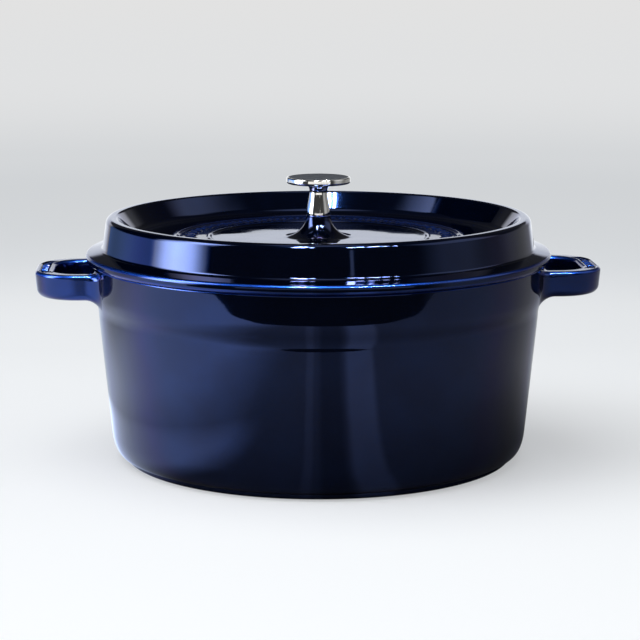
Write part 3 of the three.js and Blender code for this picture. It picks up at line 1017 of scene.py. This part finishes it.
# Panels mirrored in the glaze and the metal, which light nothing: azimuth, elevation and half sizes, degrees
WINDOWS = (
    (-19.0, 61.0, 1.5, 9.5),
    (-13.6, 60.5, 1.5, 9.0),
    (-7.0, 55.0, 1.4, 2.2),
    (18.0, 50.0, 2.2, 1.5),
    (24.5, 53.0, 2.6, 2.0),
    (31.0, 51.5, 1.6, 1.5),
    (36.5, 55.0, 2.8, 2.0),
    (42.5, 52.0, 2.0, 1.5),
    (48.5, 50.0, 1.0, 1.2),
)
SOFTBOX = ((-104.0, 22.0, 45.0, 26.0),)
PANEL_FAR = 2.6                    # metres from the object
PANEL_FACET = 3.0                  # degrees across one facet of a panel
WINDOW_GLOW = 240.0
WINDOW_SWAY = 0.8                  # degrees by which the windows' sides wander
SWAY_TURN = 40                     # how many times faster than the elevation the sway turns
SWAY_TIERS = 12                    # nothing sways that has this many tiers of facets or more
SOFTBOX_GLOW = 18.0
SOFTBOX_BLUE = (0.26, 0.46, 1.0, 1)
SOFTBOX_WHITE = (0.93, 0.98, 1.05, 1)
CARD_HALF = 40                     # degrees to either side that the card in front reaches
CARD_FACET = 5
CARD_FAR = 1.0
CARD_Z = (0.015, 0.19)
CARD_GLOW = 1.1


def make_glow_panels(name, panels, shader):
    """Emitting sheets that only mirrors see, each square to the line from the object."""
    bm = bmesh.new()
    for azimuth, height, half_a, half_e in panels:
        steps = max(1, round(half_a / PANEL_FACET))
        tiers = max(1, round(half_e))
        columns = []
        for k in range(steps + 1):
            column = []
            for tier in range(tiers + 1):
                high = height - half_e + 2 * half_e * tier / tiers
                sway = WINDOW_SWAY * math.sin(math.radians(high * SWAY_TURN)) if tiers < SWAY_TIERS else 0.0
                a = math.radians(azimuth - half_a + 2 * half_a * k / steps + sway)
                e = math.radians(high)
                flat, up = PANEL_FAR * math.cos(e), PANEL_FAR * math.sin(e)
                column.append(bm.verts.new((flat * math.sin(a), -flat * math.cos(a), up)))
            columns.append(column)
        for one, two in zip(columns, columns[1:]):
            for tier in range(tiers):
                bm.faces.new((one[tier], two[tier], two[tier + 1], one[tier + 1]))
    stage_piece(name, bm, name, shader, ONLY_MIRRORED)


def window_shader(tree):
    return add(tree, "ShaderNodeEmission", Color=(1.0, 1.0, 1.0, 1), Strength=WINDOW_GLOW).outputs[0]


def softbox_shader(tree):
    """Bright above, and a cloud-edged patch of light below, over a faint blue ground."""
    coords, x, y, z = object_place(tree)
    along = math_node(tree, "ADD", y, product(tree, noise(tree, coords, 1.6, 2.0).outputs[0], 0.30))
    patch = product(tree, spread(tree, along, -1.20, -0.42), spread(tree, along, -0.34, 0.62, 1.0, 0.0))
    upper = product(tree, spread(tree, z, 0.45, 0.95, 0.0, 0.16), spread(tree, y, 0.1, 0.5, 1.0, 0.0))
    level = math_node(tree, "MAXIMUM", upper, patch)
    ground = product(tree, spread(tree, y, -0.70, -0.30, 0.0, 1.7), spread(tree, y, 1.1, 2.1, 1.0, 0.35))
    ground = product(tree, ground, spread(tree, z, 0.35, 0.75, 1.0, 0.0))
    colour = mix_color(tree, spread(tree, level, 0.0, 0.12), SOFTBOX_BLUE, SOFTBOX_WHITE)
    strength = sum_of(tree, ground, level, SOFTBOX_GLOW)
    return add(tree, "ShaderNodeEmission", Color=colour, Strength=strength).outputs[0]


def card_shader(tree):
    return add(tree, "ShaderNodeEmission", Color=(1.0, 1.0, 1.0, 1), Strength=CARD_GLOW).outputs[0]


def make_card():
    """Low white card in front that glows and lights nothing, a painted bright reflection mirrored by the
    knob's upright rim and by nothing flatter.
    """
    bm = bmesh.new()
    turns = [math.radians(degrees) for degrees in range(-CARD_HALF, CARD_HALF + 1, CARD_FACET)]
    columns = [[bm.verts.new((CARD_FAR * math.sin(a), -CARD_FAR * math.cos(a), z)) for z in CARD_Z]
               for a in turns]
    for one, two in zip(columns, columns[1:]):
        bm.faces.new((one[0], two[0], two[1], one[1]))
    stage_piece("front_card", bm, "front_card", card_shader, ONLY_MIRRORED)


make_glow_panels("window_bars", WINDOWS, window_shader)
make_glow_panels("softbox_glow", SOFTBOX, softbox_shader)
make_card()

FILL_WATTS = 74.0
FILL_SIDE = 3.2                    # metres
FILL_AT = (-0.8, -0.3, 2.5)
FILL_TILT = -17                    # degrees about Y


def make_fill():
    """Broad overhead light that fills the shadows and isn't mirrored."""
    light = bpy.data.lights.new("overhead_fill", "AREA")
    light.shape = "SQUARE"
    light.size = FILL_SIDE
    light.energy = FILL_WATTS
    obj = link("overhead_fill", light)
    obj.location = FILL_AT
    obj.rotation_euler = (0.0, math.radians(FILL_TILT), 0.0)
    obj.visible_camera = False
    obj.visible_glossy = False


def make_world():
    """Dim room with the ceiling's light and the panels painted on it."""
    world = bpy.data.worlds.new("studio")
    bpy.context.scene.world = world
    world.use_nodes = True
    tree = world.node_tree
    tree.nodes.clear()
    direction = add(tree, "ShaderNodeTexCoord").outputs["Generated"]
    x, y, z = add(tree, "ShaderNodeSeparateXYZ", Vector=direction).outputs
    azimuth = azimuth_of(tree, x, y)
    height = product(tree, math_node(tree, "ARCSINE", z), 180.0 / math.pi)
    total = spread(tree, height, CEILING[0], CEILING[1], ROOM, CEILING[2])
    for a0, a1, e0, e1, soft_a, soft_e, level in PANELS:
        value = band(tree, height, e0, e1, soft_e)
        if a0 > -180.0:
            value = product(tree, value, spread(tree, azimuth, a0 - soft_a, a0 + soft_a))
        if a1 < 180.0:
            value = product(tree, value, spread(tree, azimuth, a1 - soft_a, a1 + soft_a, 1.0, 0.0))
        total = sum_of(tree, total, value, level)
    background = add(tree, "ShaderNodeBackground", Color=STUDIO_TINT, Strength=total)
    out = tree.nodes.new("ShaderNodeOutputWorld")
    tree.links.new(background.outputs[0], out.inputs["Surface"])
    world.cycles.sampling_method = "MANUAL"
    world.cycles.sample_map_resolution = 1024


make_fill()
make_world()

# ---------------------------------------------------------------- camera
CAMERA_AT = (-0.0729, -1.3911, 0.336)
CAMERA_PITCH = 79.88               # degrees up from straight down
CAMERA_YAW = -3.0
LENS = 123.24
SENSOR = 36.0
SHIFT = (0.0024, -0.0016)

camera = bpy.data.cameras.new("camera")
camera.lens = LENS
camera.sensor_width = SENSOR
camera.shift_x, camera.shift_y = SHIFT
camera_object = link("camera", camera)
camera_object.location = CAMERA_AT
camera_object.rotation_euler = (math.radians(CAMERA_PITCH), 0.0, math.radians(CAMERA_YAW))
bpy.context.scene.camera = camera_object
bpy.context.scene.view_settings.view_transform = "Standard"

bpy.context.view_layer.update()
